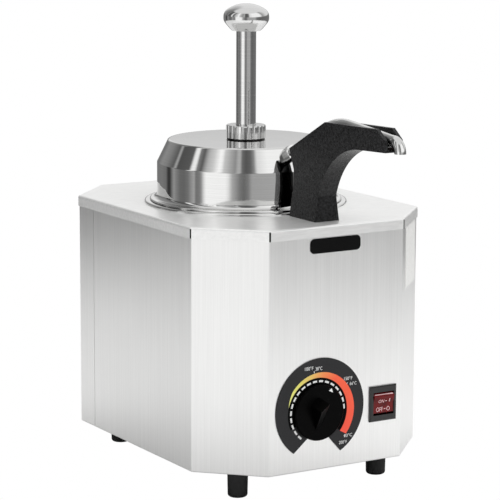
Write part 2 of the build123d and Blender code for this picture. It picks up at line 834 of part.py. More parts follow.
def arm_outline():
    """The arm from the side: column, sloped back, level top, nose and hollow underside."""
    arc, turn_z = hollow_arc(arm_under_radius, arm_foot_front, arm_under_z)
    top = Polyline((-arm_foot_front, turn_z), (-arm_foot_front, deck_top),
                   (-back_of_arm, deck_top),
                   (-back_of_arm - arm_back_lean, deck_top + arm_neck_height),
                   (-arm_shoulder_reach, arm_shoulder_z), (-arm_apex_reach, arm_apex_z),
                   (-arm_top_reach, arm_top_z), (-arm_nose_reach, arm_nose_z),
                   (-arm_tip_reach, arm_tip_z), (-arm_under_reach, arm_under_z))
    return make_face(Curve() + [top, arc])


def arm_hollow():
    """The channel inside the arm, open at the top and towards the lid."""
    front = arm_foot_front - arm_wall
    floor_z = arm_under_z + arm_wall
    arc, turn_z = hollow_arc(arm_under_radius + arm_wall, front, floor_z)
    over = max(arm_apex_z, arm_top_z) + arm_wall
    past = arm_tip_reach + arm_wall
    lines = Polyline((-front, turn_z), (-front, deck_top + arm_floor), (0, deck_top + arm_floor),
                     (0, over), (-past, over), (-past, floor_z), (-arm_under_reach, floor_z))
    return make_face(Curve() + [lines, arc])


def flare(grow, bottom, top, near, far):
    """A wedge that widens from the arm's width towards the deck."""
    half = arm_half_width + grow
    wide = half + arm_foot_flare * (1 - (bottom - deck_top) / arm_foot_flare_height)
    outline = Polyline((-wide, bottom), (wide, bottom), (half, top), (-half, top), close=True)
    return Pos(0, far, 0) * extrude(Plane.XZ * make_face(outline), far - near)


def spout_shroud():
    """The black arm: two side walls on a web that follows the underside, open on top."""
    flare_top = deck_top + arm_foot_flare_height
    body = side_view(arm_outline(), arm_half_width)
    body += flare(0, deck_top, flare_top, -arm_foot_front, -back_of_arm)
    body -= side_view(arm_hollow(), arm_half_width - arm_wall)
    body -= flare(-arm_wall, deck_top + arm_floor, flare_top, -arm_foot_front + arm_wall, 0)
    for y in arm_screw_places():
        body -= cylinder(screw_radius - seat_gap, deck_top - 1, deck_top + arm_floor + 1, 0, y)
    body -= cylinder(lead_hole_radius, deck_top - 1, deck_top + arm_floor + 1, 0, lead_y)
    for reach in rib_places():
        width = arm_half_width - arm_wall / 2
        rib = block((-width, width), (-reach - rib_width / 2, -reach + rib_width / 2),
                    (arm_under_z + arm_wall / 2, arm_apex_z))
        body += rib - along_tube((arm_half_width, -trough_drop(0) - 40), trough_drop(0))
    return body


def rib_places():
    return (trough_start + rib_width, trough_end - rib_width)


def along_tube(size, drop, start=0.0, end=0.0):
    """A bar beside the tube's axis: half its width, its height, and how far its base is below."""
    half_width, height = size
    first, last = (start or trough_start - 20), (end or trough_end + 40)
    points = [(-first, tube_axis_z(first) - drop), (-last, tube_axis_z(last) - drop),
              (-last, tube_axis_z(last) - drop + abs(height)),
              (-first, tube_axis_z(first) - drop + abs(height))]
    return side_view(make_face(Polyline(*points, close=True)), half_width)


def spout_trough():
    """A folded channel under the discharge tube that carries heat to it."""
    half = arm_half_width - arm_wall - seat_gap * 2
    outer = along_tube((half, trough_height), trough_drop(1), trough_start, trough_end)
    inner = along_tube((half - trough_sheet, trough_height), trough_drop(2),
                       trough_start - 5, trough_end + 5)
    return outer - inner


def spout_heater():
    half = arm_half_width - arm_wall - seat_gap * 2
    return along_tube((half, heater_bar), trough_drop(0), trough_start, trough_end)


def shroud_screws():
    body = screw(screw_radius - 2 * seat_gap, screw_head_radius, screw_head, arm_floor + sheet)
    return [Pos(0, y, deck_top - sheet) * body for y in arm_screw_places()]


# ---- Controls ----
def thermostat_screw_places():
    return [dial_offset - thermostat_screw_spread, dial_offset + thermostat_screw_spread]


def dial_plate():
    """A horseshoe of printed sheet on the front wall, open at the bottom."""
    half_gap = plate_radius * tan(radians(plate_gap_angle / 2))
    low = -plate_gap_drop - plate_radius
    gap = make_face(Polyline((0, -plate_gap_drop), (-half_gap, low), (half_gap, low), close=True))
    plate = Rot(0, 0, plate_turn) * (Circle(plate_radius) - gap)
    hole = Pos(dial_offset - plate_offset, -plate_lift) * Circle(plate_hole)
    sketch = Plane.XZ * (plate - hole)
    return Pos(plate_offset, -wall_outer_y, dial_z + plate_lift) * extrude(sketch, plate_sheet)


knob_back = -(wall_outer_y + plate_sheet + dial_gap)
knob_face = knob_back - dial_thickness


def finger_grip():
    """A wedge on the knob's face: a steep end facet and a long slope to a narrow foot."""
    crest = knob_face - grip_height
    end_left = (grip_left, knob_face, grip_end)
    end_right = (grip_right, knob_face, grip_end)
    flank = (grip_flank, knob_face, grip_flank_rise)
    foot_right = (grip_foot_right, knob_face, -grip_foot)
    foot_left = (grip_foot_left, knob_face, -grip_foot)
    brow_left = (grip_left, crest, grip_brow)
    brow_right = (grip_right, crest, grip_brow)
    outlines = [(end_left, end_right, brow_right, brow_left),
                (brow_left, brow_right, foot_right, foot_left),
                (end_left, brow_left, foot_left),
                (end_right, flank, brow_right),
                (flank, foot_right, brow_right),
                (end_left, end_right, flank, foot_right, foot_left)]
    faces = [Face(Wire.make_polygon(outline)) for outline in outlines]
    return Rot(0, -grip_angle, 0) * Solid(Shell(faces))


def control_knob():
    """A disc, hollow behind, with a wedge grip and a hub bored for the shaft."""
    disc = along_y(dial_radius, knob_back, knob_face, 0, 0)
    disc = chamfer(disc.edges().filter_by(GeomType.CIRCLE).sort_by(Axis.Y)[0], dial_bevel)
    body = disc + finger_grip()
    body -= along_y(dial_recess_radius, knob_back + 1, knob_back - dial_recess, 0, 0)
    body += along_y(shaft_radius + hub_wall, knob_back, knob_face, 0, 0)
    body += along_y(shaft_radius + hub_wall * 0.6, knob_face, knob_back - shaft_in_knob - 1, 0, 0)
    body -= along_y(shaft_radius + seat_gap, knob_back + 1, knob_back - shaft_in_knob, 0, 0)
    return Pos(dial_offset, 0, dial_z) * body


def thermostat_shaft():
    inside = -wall_inner_y + thermostat_plate + 6
    return along_y(shaft_radius, knob_back - shaft_in_knob + 0.5, inside, dial_offset, dial_z)


def thermostat_body():
    """The capillary thermostat: fixing plate, threaded bush and switch box."""
    half = thermostat_width / 2
    plate_back = -wall_inner_y + thermostat_plate
    box_back = -wall_inner_y + thermostat_depth
    body = block((dial_offset - half, dial_offset + half), (-wall_inner_y, plate_back),
                 (dial_z - half / 2, dial_z + half / 2))
    body += block((dial_offset - half * 0.9, dial_offset + half * 0.9), (plate_back, box_back),
                  (dial_z - half * 0.9, dial_z + half * 0.6))
    body += along_y(thermostat_bush, -wall_outer_y - plate_sheet, plate_back, dial_offset, dial_z)
    bore = along_y(shaft_radius + running_gap, -body_length, plate_back + 8, dial_offset, dial_z)
    body -= bore
    for x in thermostat_screw_places():
        body -= along_y(screw_radius - seat_gap, -wall_inner_y - 1, -wall_inner_y + 9, x, dial_z)
    return body


def thermostat_screws():
    body = Rot(-90, 0, 0) * screw(screw_radius - 2 * seat_gap, screw_head_radius * 0.85,
                                  screw_head * 0.7, 8)
    return [Pos(x, -wall_outer_y, dial_z) * body for x in thermostat_screw_places()]


pivot_y = -wall_outer_y + 3.6
bezel_front = -wall_outer_y - bezel_depth


def rocker_faces():
    """The rocker from the side about its pivot, in Y and Z, lower half pressed in."""
    face_y = bezel_front + rocker_proud - pivot_y
    slope = tan(radians(rocker_swing))
    reach = rocker_radius * 2
    front = make_face(Polyline((face_y, -reach), (face_y, 0), (face_y - reach * slope, reach),
                               (reach, reach), (reach, -reach), close=True))
    back = make_face(Polyline((-reach, -reach), (rocker_radius * 0.55, -reach),
                              (rocker_radius * 0.55, reach), (-reach, reach), close=True))
    return Circle(rocker_radius) & front & back


def rocker():
    shape = side_view(rocker_faces(), rocker_width / 2)
    pin = Rot(0, 90, 0) * Cylinder(pivot_radius, rocker_width + 2 * pivot_length)
    return Pos(switch_offset, pivot_y, switch_z) * (shape + pin)


def switch_body():
    """The snap-in switch: a chamfered bezel on a box with a round-ended pocket for the rocker."""
    half_w, half_h = bezel_width / 2, bezel_height / 2
    box_w, box_h = switch_box_width / 2, switch_box_height / 2
    bezel = block((-half_w, half_w), (bezel_front, -wall_outer_y), (-half_h, half_h))
    bezel = chamfer(bezel.faces().sort_by(Axis.Y)[0].edges(), 1.0)
    body = bezel + block((-box_w, box_w), (-wall_outer_y, -wall_outer_y + switch_box_depth),
                         (-box_h, box_h))
    pocket_half = rocker_width / 2 + piece_gap
    pocket_r = rocker_radius + piece_gap
    pocket = Pos(0, pivot_y, 0) * Rot(0, 90, 0) * Cylinder(pocket_r, 2 * pocket_half)
    pocket += block((-pocket_half, pocket_half), (bezel_front - 9, pivot_y), (-pocket_r, pocket_r))
    pin = Pos(0, pivot_y, 0) * Rot(0, 90, 0) * Cylinder(pivot_radius + running_gap,
                                                       rocker_width + 2 * pivot_length + 0.4)
    return Pos(switch_offset, 0, switch_z) * (body - pocket - pin)


def switch_terminals():
    back = -wall_outer_y + switch_box_depth
    blades = []
    for z in (-8, 0, 8):
        blades.append(block((switch_offset - blade_width / 2, switch_offset + blade_width / 2),
                            (back, back + blade_length), (switch_z + z - 0.4, switch_z + z + 0.4)))
    return blades


def caution_plate():
    face = Plane.XZ * RectangleRounded(caution_width, caution_height, caution_corner)
    return Pos(caution_offset, -wall_outer_y, deck_top - caution_drop) * extrude(face, caution_sheet)


def rating_label():
    """A bare label on the right front chamfer, just under the deck's lip."""
    (x, y), _, angle = octagon_sides(wall_inset)[6]
    middle_z = deck_top - lip_height - sheet_gap - label_height / 2
    plate = Pos(label_sheet / 2, -label_offset, 0) * Box(label_sheet, label_width, label_height)
    return Pos(x, y, middle_z) * Rot(0, 0, angle) * plate


# ---- Heating and electrics ----
def well_heater():
    """A band heater round the vessel, open behind, with a clamping lug at each end."""
    low = well_floor + band_rise
    high = low + band_height
    outer = well_outer + seat_gap + band_thickness
    band = tube_piece(outer, well_outer + seat_gap, low, high)
    band -= block((-band_gap / 2, band_gap / 2), (0, outer + 1), (low - 1, high + 1))
    middle = (low + high) / 2
    for sign in (-1, 1):
        edges = sorted((sign * band_gap / 2, sign * (band_gap / 2 + 2)))
        lug = block(edges, (outer - 1, outer + lug_length), (middle - 8, middle + 8))
        band += lug
    hole = Pos(0, outer + lug_length / 2, middle) * Rot(0, 90, 0)
    return band - hole * Cylinder(screw_radius + hole_gap, band_gap * 3)


def heater_clamp_screw():
    outer = well_outer + seat_gap + band_thickness
    middle = well_floor + band_rise + band_height / 2
    length = band_gap + 4 + nut_height
    body = Rot(0, 90, 0) * screw(screw_radius, screw_head_radius, screw_head, length)
    return Pos(-band_gap / 2 - 2, outer + lug_length / 2, middle) * body


def insulation_jacket():
    """A glass-wool sleeve round the heater, notched behind for the clamp."""
    inner = well_outer + jacket_gap
    low = well_floor + 4
    jacket = tube_piece(inner + jacket_thickness, inner, low, low + jacket_height)
    notch = band_gap / 2 + lug_length
    return jacket - block((-notch, notch), (0, 2 * inner), (low - 1, low + band_height + 14))


bulb_low = well_floor + band_rise + band_height + 6
bulb_reach = well_outer + bulb_radius + seat_gap


def around_well(radius, angle, z):
    return (radius * cos(radians(angle)), radius * sin(radians(angle)), z)


def sensing_bulb():
    x, y, _ = around_well(bulb_reach, bulb_angle, 0)
    return cylinder(bulb_radius, bulb_low, bulb_low + bulb_length, x, y)


def bulb_clip():
    """A spring clip that holds the bulb against the vessel."""
    middle = bulb_low + bulb_length / 2
    x, y, _ = around_well(bulb_reach, bulb_angle, 0)
    ring = tube_piece(bulb_radius + clip_sheet, bulb_radius + seat_gap, middle - clip_width / 2,
                      middle + clip_width / 2, x, y)
    ring -= cylinder(well_outer + seat_gap, middle - clip_width, middle + clip_width)
    return ring


def capillary_tube():
    """The fine tube from the thermostat to its bulb, under the jacket's edge."""
    start_y = -wall_inner_y + thermostat_depth
    run = well_outer + (band_thickness + jacket_gap) / 2
    below = well_floor - 6
    points = [(dial_offset, start_y, dial_z - 8), (dial_offset, start_y + 16, dial_z - 8),
              (dial_offset + 14, start_y + 22, below - 6), around_well(run, bulb_angle, below),
              around_well(run, bulb_angle, bulb_low - 7),
              around_well(bulb_reach, bulb_angle, bulb_low - 2),
              around_well(bulb_reach, bulb_angle, bulb_low)]
    return swept_tube(points, [6, 6, 6, 3, 1.5], capillary_radius)


def thermal_cutout():
    top = well_floor - well_sheet
    body = cylinder(cutout_radius, top - cutout_height, top, 0, cutout_offset)
    for x in (-5, 5):
        body += block((x - 2, x + 2), (cutout_offset - 0.4, cutout_offset + 0.4),
                      (top - cutout_height - 6, top - cutout_height))
    return body


def cutout_bracket():
    """A strap that holds the cutout up against the vessel's floor."""
    top = well_floor - well_sheet
    half = cutout_bracket_length / 2
    inner = cutout_radius + 0.3
    strap = None
    for sign in (-1, 1):
        ear = block(sorted((sign * inner, sign * half)), (cutout_offset - 5, cutout_offset + 5),
                    (top - 1, top))
        post = block(sorted((sign * inner, sign * (inner + 1))),
                     (cutout_offset - 5, cutout_offset + 5), (top - cutout_height - 1, top))
        strap = ear + post if strap is None else strap + ear + post
    bridge = block((-inner - 1, inner + 1), (cutout_offset - 5, cutout_offset + 5),
                   (top - cutout_height - 1, top - cutout_height))
    slot = block((-8, 8), (cutout_offset - 2, cutout_offset + 2),
                 (top - cutout_height - 2, top - cutout_height + 1))
    return strap + bridge - slot


def terminal_pitch(index):
    return terminal_x + (index - (terminal_ways - 1) / 2) * terminal_length / terminal_ways


def terminal_block():
    half = terminal_length / 2
    body = block((terminal_x - half, terminal_x + half),
                 (terminal_y - terminal_depth / 2, terminal_y + terminal_depth / 2),
                 (pan_floor, pan_floor + terminal_height))
    for index in range(terminal_ways):
        x = terminal_pitch(index)
        for sign in (-1, 1):
            y = terminal_y + sign * terminal_depth / 4
            body -= cylinder(2.6, pan_floor + terminal_height / 2, pan_floor + 60, x, y)
        body -= along_y(wire_radius + 0.3, terminal_y - terminal_depth,
                        terminal_y + terminal_depth, x, pan_floor + terminal_height * 0.35)
    return body


def terminal_screws():
    base = pan_floor + terminal_height / 2
    screws = []
    for index in range(terminal_ways):
        for sign in (-1, 1):
            body = cylinder(2.4, base, base + 5) - Pos(0, 0, base + 5) * Box(5, 0.8, 2)
            place = Pos(terminal_pitch(index), terminal_y + sign * terminal_depth / 4, 0)
            screws.append(place * body)
    return screws


def ground_stud():
    body = hexagon(8.0, foot_height - 3, 3, stud_x, stud_y)
    body += cylinder(stud_radius, foot_height - 1, foot_height + stud_length, stud_x, stud_y)
    nut = hexagon(8.0, pan_floor, 4, stud_x, stud_y)
    nut -= cylinder(stud_radius + seat_gap, pan_floor - 1, pan_floor + 5, stud_x, stud_y)
    return [body, nut]


gland_z = walls_bottom + gland_rise


def cord_gland():
    """The strain-relief gland in the rear wall: its bore takes the supply cord."""
    head = along_y(gland_radius, wall_outer_y, wall_outer_y + gland_head, gland_x, gland_z)
    head = chamfer(head.edges().filter_by(GeomType.CIRCLE).sort_by(Axis.Y)[-1], gland_chamfer)
    body = head + along_y(gland_thread_radius, wall_inner_y - gland_inside, wall_outer_y,
                          gland_x, gland_z)
    return body - along_y(gland_bore, wall_inner_y - gland_inside - 1,
                          wall_outer_y + gland_head + 1, gland_x, gland_z)


def gland_nut():
    ring = RegularPolygon(gland_radius * 1.15, 6) - Circle(gland_thread_radius + seat_gap)
    return Pos(gland_x, wall_inner_y, gland_z) * extrude(Plane.XZ * ring, gland_nut_height)


save("front_wrap", front_wrap())
save("rear_cover", rear_cover())
save("deck_panel", deck_panel())
save("base_pan", base_pan())
for foot_name, (foot_x, foot_y) in foot_places().items():
    save(foot_name, foot(foot_x, foot_y))
foot_screw_list, foot_nut_list = foot_fasteners()
save("foot_screws", *foot_screw_list)
save("foot_nuts", *foot_nut_list)
save("cover_screws", *cover_screws())
save("well_vessel", well_vessel())
save("jar", jar())
save("lid", lid())
save("pump_cylinder", pump_cylinder())
save("neck_washer", neck_washer())
save("lock_nut", lock_nut())
save("guide_sleeve", guide_sleeve())
save("plunger_rod", plunger_rod())
save("plunger_knob", plunger_knob())
save("piston", piston())
save("piston_seal", piston_seal())
save("piston_bolt", piston_bolt())
save("return_spring", return_spring())
save("spring_seat", spring_seat())
save("inlet_valve_seat", inlet_valve_seat())
save("inlet_ball", inlet_ball())
save("outlet_elbow", outlet_elbow())
save("outlet_ball", outlet_ball())
save("riser_tube", riser_tube())
save("discharge_tube", discharge_tube())
save("outlet_collar", outlet_collar())
save("spout_shroud", spout_shroud())
save("spout_trough", spout_trough())
save("spout_heater", spout_heater())
save("shroud_screws", *shroud_screws())
save("dial_plate", dial_plate())
save("control_knob", control_knob())
save("thermostat_shaft", thermostat_shaft())
save("thermostat_body", thermostat_body())
save("thermostat_screws", *thermostat_screws())
save("switch_body", switch_body())
save("rocker", rocker())
save("switch_terminals", *switch_terminals())
save("caution_plate", caution_plate())
save("rating_label", rating_label())
save("well_heater", well_heater())
save("heater_clamp_screw", heater_clamp_screw())
save("insulation_jacket", insulation_jacket())
save("sensing_bulb", sensing_bulb())
save("bulb_clip", bulb_clip())
save("capillary_tube", capillary_tube())
save("thermal_cutout", thermal_cutout())
save("cutout_bracket", cutout_bracket())
save("terminal_block", terminal_block())
save("terminal_screws", *terminal_screws())
save("ground_stud", *ground_stud())
save("cord_gland", cord_gland())
save("gland_nut", gland_nut())
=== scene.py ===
from math import atan2, cos, degrees, pi, radians, sin, tan

import bmesh
import bpy
from mathutils import Euler, Matrix, Vector


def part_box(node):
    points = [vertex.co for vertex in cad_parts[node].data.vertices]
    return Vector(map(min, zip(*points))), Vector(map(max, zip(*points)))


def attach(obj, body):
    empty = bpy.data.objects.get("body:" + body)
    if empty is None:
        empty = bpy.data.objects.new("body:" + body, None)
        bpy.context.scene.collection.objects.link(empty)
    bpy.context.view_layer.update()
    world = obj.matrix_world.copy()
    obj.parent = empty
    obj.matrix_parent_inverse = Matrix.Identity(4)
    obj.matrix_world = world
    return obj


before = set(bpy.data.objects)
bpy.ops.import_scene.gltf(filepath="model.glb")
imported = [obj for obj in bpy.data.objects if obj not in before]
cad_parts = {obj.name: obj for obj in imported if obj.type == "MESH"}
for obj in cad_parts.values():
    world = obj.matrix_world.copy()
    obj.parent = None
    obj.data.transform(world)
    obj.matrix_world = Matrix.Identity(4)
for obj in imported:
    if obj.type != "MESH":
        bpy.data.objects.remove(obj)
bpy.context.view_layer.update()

scene = bpy.context.scene


# ---- Camera ----
# A long lens, 31 degrees to the left of the front and looking down by 10 degrees.
# It stands 2 m away, so the upright edges draw together only slightly.
view_right = Vector((0.85523, -0.51824, 0.00385))
view_up = Vector((0.08729, 0.15137, 0.98462))
view_back = view_right.cross(view_up)
camera_place = (-1.02132, -1.650985, 0.54074)
camera_data = bpy.data.cameras.new("camera")
camera_data.lens = 161.64
camera_data.sensor_width = 36.0
camera_data.clip_end = 50.0
camera = bpy.data.objects.new("camera", camera_data)
scene.collection.objects.link(camera)
camera.matrix_world = Matrix.Translation(camera_place) @ Matrix(
    (view_right, view_up, view_back)).transposed().to_4x4()
scene.camera = camera


# ---- Surround ----
# A white studio with grey flags round it, which give the polished steel its bands.
# The low ring of flags shows in upright faces and the high ring in sloping ones.
def add_node(tree, kind, inputs=None, output=0, **settings):
    """Add a node and give one of its outputs; an input is a value or another node's output."""
    node = tree.nodes.new(kind)
    for key, value in settings.items():
        setattr(node, key, value)
    for key, value in (inputs or {}).items():
        if isinstance(value, bpy.types.NodeSocket):
            tree.links.new(value, node.inputs[key])
        else:
            node.inputs[key].default_value = value
    return node.outputs[output] if node.outputs else None


def set_stops(ramp, stops):
    """Set a colour ramp's stops from pairs of a position and a grey or a colour."""
    while len(ramp.elements) > 1:
        ramp.elements.remove(ramp.elements[-1])
    for index, (position, tone) in enumerate(stops):
        element = ramp.elements[0] if index == 0 else ramp.elements.new(position)
        element.position = position
        element.color = tone if isinstance(tone, tuple) else (tone, tone, tone, 1.0)


scene.view_settings.view_transform = "Standard"
studio = bpy.data.worlds.new("studio")
studio.use_nodes = True
scene.world = studio
surround = studio.node_tree
surround.nodes.clear()
direction = add_node(surround, "ShaderNodeTexCoord", output="Generated")
split = add_node(surround, "ShaderNodeSeparateXYZ", {0: direction}).node.outputs
turn = add_node(surround, "ShaderNodeMath", {0: split["Y"], 1: split["X"]}, operation="ARCTAN2")
turn_share = add_node(surround, "ShaderNodeMapRange",
                      {"Value": turn, "From Min": -pi, "From Max": pi})
# Positions go round from -X through -Y, +X and +Y back to -X. Some levels are above white,
# which a ramp can't hold, so the ramps hold a third of each and it is tripled after them.
low_flags = (
    (0.0, 0.42), (0.010, 0.94), (0.018, 1.22), (0.090, 1.20), (0.101, 1.03), (0.115, 0.52),
    (0.143, 0.24), (0.158, 0.18), (0.172, 0.25), (0.186, 0.46), (0.290, 0.50), (0.315, 0.22),
    (0.360, 0.16), (0.458, 0.19), (0.663, 0.22), (0.716, 0.20), (0.776, 0.23), (0.813, 0.20),
    (0.829, 0.05), (0.843, 0.05), (0.856, 0.22), (0.868, 0.37), (0.880, 0.28), (0.902, 0.18),
    (0.923, 0.17), (0.942, 0.22), (0.958, 0.38), (0.969, 0.47), (0.977, 0.22), (0.992, 0.26),
    (1.0, 0.42))
high_flags = (
    (0.0, 0.62), (0.022, 0.80), (0.040, 1.10), (0.050, 1.27), (0.060, 1.15), (0.070, 0.75),
    (0.095, 0.52), (0.118, 0.35), (0.130, 0.55), (0.139, 0.55), (0.147, 0.19), (0.165, 0.12),
    (0.185, 0.16), (0.200, 0.33), (0.213, 0.95), (0.260, 1.20), (0.375, 1.20), (0.417, 0.40),
    (0.50, 0.92), (0.68, 0.92), (0.74, 0.35), (0.80, 0.28), (0.845, 0.13), (0.857, 0.50),
    (0.868, 0.10), (0.924, 0.13), (0.935, 1.10), (0.947, 1.15), (0.957, 0.27), (0.975, 0.13),
    (0.990, 0.45), (1.0, 0.62))
rings = []
for flags in (low_flags, high_flags):
    ring = add_node(surround, "ShaderNodeValToRGB", {0: turn_share})
    set_stops(ring.node.color_ramp, [(position, level / 3) for position, level in flags])
    rings.append(ring)
height = split["Z"]
above_low = add_node(surround, "ShaderNodeMapRange",
                     {"Value": height, "From Min": 0.06, "From Max": 0.16})
sides = add_node(surround, "ShaderNodeMix", {0: above_low, 6: rings[0], 7: rings[1]},
                 output=2, data_type="RGBA")
overhead = add_node(surround, "ShaderNodeMapRange",
                    {"Value": height, "From Min": 0.76, "From Max": 0.86})
all_round = add_node(surround, "ShaderNodeMix", {0: overhead, 6: sides, 7: (0.3, 0.3, 0.3, 1.0)},
                     output=2, data_type="RGBA")
tripled = add_node(surround, "ShaderNodeVectorMath", {0: all_round, 3: 3.0}, operation="SCALE")
seen = add_node(surround, "ShaderNodeLightPath", output="Is Camera Ray")
shown = add_node(surround, "ShaderNodeMix", {0: seen, 6: tripled, 7: (1.0, 1.0, 1.0, 1.0)},
                 output=2, data_type="RGBA")
background = add_node(surround, "ShaderNodeBackground", {"Color": shown, "Strength": 1.0})
add_node(surround, "ShaderNodeOutputWorld", {"Surface": background})


# ---- Floor ----
# A plain pale sheet under the object, with painted shade: a little darker beneath it and behind
# it.
# It lights the object from below and shows in the steel, but the camera sees only white there.
def start_material(name):
    """A new material: itself, its nodes and its shader's inputs."""
    material = bpy.data.materials.new(name)
    material.use_nodes = True
    tree = material.node_tree
    return material, tree, tree.nodes["Principled BSDF"].inputs


floor_paint, floor_tree, floor_shader = start_material("floor")
floor_place = add_node(floor_tree, "ShaderNodeTexCoord", output="Object")
floor_reach = add_node(floor_tree, "ShaderNodeVectorMath", {0: floor_place}, output="Value",
                       operation="LENGTH")
# Painted shade on the floor: darker near the middle and towards the back.
floor_near_shade = add_node(floor_tree, "ShaderNodeValToRGB", {0: floor_reach})
set_stops(floor_near_shade.node.color_ramp, [(0.0, 0.60), (0.20, 0.70), (0.32, 1.0)])
floor_depth = add_node(floor_tree, "ShaderNodeSeparateXYZ", {0: floor_place}, output="Y")
floor_rear_shade = add_node(floor_tree, "ShaderNodeMapRange", {
    "Value": floor_depth, "From Min": -0.15, "From Max": 0.25, "To Min": 1.0, "To Max": 0.84})
floor_shade = add_node(floor_tree, "ShaderNodeVectorMath", {0: floor_near_shade, 3: floor_rear_shade},
                       operation="SCALE")
floor_tree.links.new(floor_shade, floor_shader["Base Color"])
floor_shader["Roughness"].default_value = 0.9
floor_shader["Specular IOR Level"].default_value = 0.0
floor_mesh = bpy.data.meshes.new("floor")
bm = bmesh.new()
bmesh.ops.create_circle(bm, cap_ends=True, segments=96, radius=1.15)
bm.to_mesh(floor_mesh)
bm.free()
floor_mesh.materials.append(floor_paint)
floor = bpy.data.objects.new("floor", floor_mesh)
floor.location.x = -0.08
floor.visible_camera = False
scene.collection.objects.link(floor)

# ---- Lamp ----
# One large soft box overhead that faces straight down. It lights the matt pieces,
# and it is kept out of the steel's reflections.
lamp_data = bpy.data.lights.new("top", "AREA")
lamp_data.shape = "RECTANGLE"
lamp_data.size = lamp_data.size_y = 3.0
lamp_data.energy = 38.0
lamp = bpy.data.objects.new("top", lamp_data)
lamp.location = (0.0, -0.4, 2.5)
lamp.visible_glossy = False
scene.collection.objects.link(lamp)


# ---- Walls ----
# The front wrap and the rear cover: brushed stainless sheet, folded to shape with the grain
# upright. Screws through the rear cover go into the base pan's upturned edge.
def linear(hex_colour):
    """A #rrggbb colour as linear red, green, blue and alpha."""
    parts = [int(hex_colour[start:start + 2], 16) / 255 for start in (1, 3, 5)]
    return tuple(part / 12.92 if part <= 0.04045 else ((part + 0.055) / 1.055) ** 2.4
                 for part in parts) + (1.0,)


def surface(name, dark, light, cells, gloss, rise=0.0, detail=4.0, clouds=0.0,
            cloud_share=1.0, metallic=0.0, shine=0.5):
    """A finish with a pattern of cells, whose sizes along X, Y and Z are in millimetres.

    The pattern runs from the dark to the light tone and raises the surface by some metres.
    The roughness is one number, or a range that follows the pattern, slow clouds or both.
    """
    material, tree, shader = start_material(name)
    place = add_node(tree, "ShaderNodeTexCoord", output="Object")
    scaled = add_node(tree, "ShaderNodeMapping",
                      {"Vector": place, "Scale": [1000 / size for size in cells]})
    marks = add_node(tree, "ShaderNodeTexNoise", {"Vector": scaled, "Scale": 1.0,
                                                  "Detail": detail, "Roughness": 0.6})
    share = add_node(tree, "ShaderNodeMapRange",
                     {"Value": marks, "From Min": 0.3, "From Max": 0.7})
    tone = add_node(tree, "ShaderNodeMix", {0: share, 6: linear(dark), 7: linear(light)},
                    output=2, data_type="RGBA")
    tree.links.new(tone, shader["Base Color"])
    shader["Metallic"].default_value = metallic
    shader["Specular IOR Level"].default_value = shine
    if isinstance(gloss, tuple):
        drift = marks
        if clouds:
            slow = add_node(tree, "ShaderNodeTexNoise", {"Vector": place, "Scale": 1000 / clouds,
                                                         "Detail": 2.0, "Roughness": 0.6})
            drift = add_node(tree, "ShaderNodeMix", {0: cloud_share, 2: marks, 3: slow})
        rough = add_node(tree, "ShaderNodeMapRange", {
            "Value": drift, "From Min": 0.3, "From Max": 0.7, "To Min": gloss[0],
            "To Max": gloss[1]})
        tree.links.new(rough, shader["Roughness"])
    else:
        shader["Roughness"].default_value = gloss
    if rise:
        raised = add_node(tree, "ShaderNodeBump", {"Height": marks, "Distance": rise,
                                                   "Strength": 1.0})
        tree.links.new(raised, shader["Normal"])
    return material


def brushed(name, dark, light, grain, gloss, rise, metallic=1.0):
    """Stainless sheet ground with a straight grain, over slow changes of gloss."""
    return surface(name, dark, light, grain, gloss, rise, clouds=71.43, cloud_share=0.4,
                   metallic=metallic)


def dress(material, *names, edge=0.0):
    """Give solids a finish, and a small rounded edge where the real one catches the light."""
    for name in names:
        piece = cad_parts[name]
        piece.data.materials.clear()
        piece.data.materials.append(material)
        if edge:
            rounded = piece.modifiers.new("edge", "BEVEL")
            rounded.width = edge
            rounded.segments = 2
            rounded.limit_method = "ANGLE"
            rounded.angle_limit = radians(40)
            rounded.harden_normals = False


# Brushed stainless: soft pale streaks from top to bottom. The real grain is a few hundredths
# of a millimetre wide, which wouldn't show, so it is drawn 1.1 mm wide.
upright_grain = (1.111, 1.111, 111.1)
wall_steel = brushed("wall_steel", "#e7e7e6", "#efefee", upright_grain, (0.30, 0.37), 0.000004)
dress(wall_steel, "front_wrap", "rear_cover")


# ---- Base pan, bracket and clip ----
# The folded tray that closes the housing below, the strap that holds the thermal cutout
# and the spring clip that holds the bulb: all zinc-plated steel sheet.
def worn_metal(name, dark, light, marks, gloss, rise=0.00001):
    """Pressed, drawn or turned metal with faint marks of a size in millimetres."""
    return surface(name, dark, light, (marks, marks, marks / 0.6), gloss, rise, metallic=1.0)


# Zinc plating: blue-grey and half matt, with blotches the size of a fingertip.
zinc_sheet = worn_metal("zinc_sheet", "#9da0a2", "#c3c5c6", 25.0, (0.35, 0.55))
dress(zinc_sheet, "base_pan", "cutout_bracket", "bulb_clip")

# ---- Screws and nuts ----
# Pan-head screws, the feet's nuts and the heater's clamp screw, cold formed in steel.
# Screws of one use are one group, as they come in one bag.
# Formed steel: a grey shine, a little uneven from head to head.
screw_steel = worn_metal("screw_steel", "#9b9b9a", "#c4c4c3", 3.333, (0.25, 0.40))
dress(screw_steel, "foot_screws", "foot_nuts", "cover_screws", "heater_clamp_screw",
      "shroud_screws", "thermostat_screws")


# ---- Feet ----
# Four tapered rubber bushes with a rounded lower edge, moulded. A screw in each one's
# counterbore holds it to the base pan.
def moulded(name, dark, light, grit, gloss, rise, shine=0.5):
    """Moulded rubber or plastic, with a raised grit of a size in millimetres."""
    return surface(name, dark, light, (grit, grit, grit), gloss, rise, detail=3.0,
                   clouds=33.33, shine=shine)


